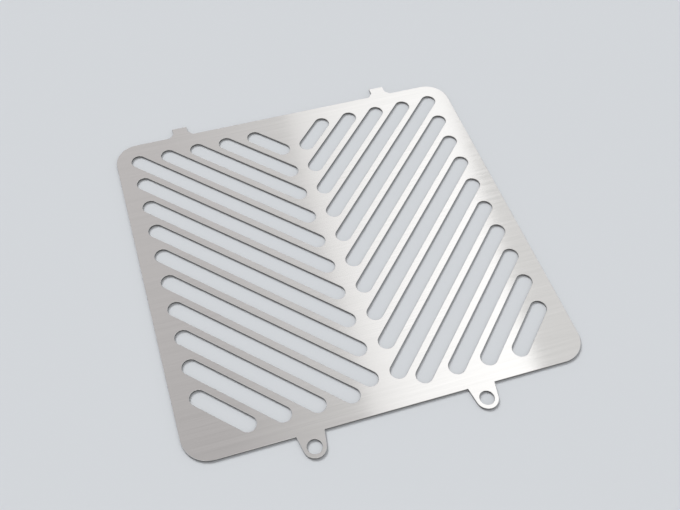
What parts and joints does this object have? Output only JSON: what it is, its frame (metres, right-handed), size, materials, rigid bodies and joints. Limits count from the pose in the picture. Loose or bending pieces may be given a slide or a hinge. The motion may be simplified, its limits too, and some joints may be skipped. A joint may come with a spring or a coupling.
{
  "type": "motorcycle radiator guard",
  "caption": "Flat stainless steel guard plate for a motorcycle radiator, with slanted round-ended slots in a chevron, bolt ears below and tongues above.",
  "frame": {"origin": "midway between the two bolt holes, on the back face", "axes": "+X along the lower edge, to the right seen from the front; +Y towards the tongues on the upper edge; +Z out of the front face"},
  "size_m": [0.2384, 0.2548, 0.0015],
  "materials": {
    "brushed_sheet": "brushed along X"
  },
  "bodies": {
    "root": {"guard_plate": "brushed_sheet"}
  },
  "joints": []
}
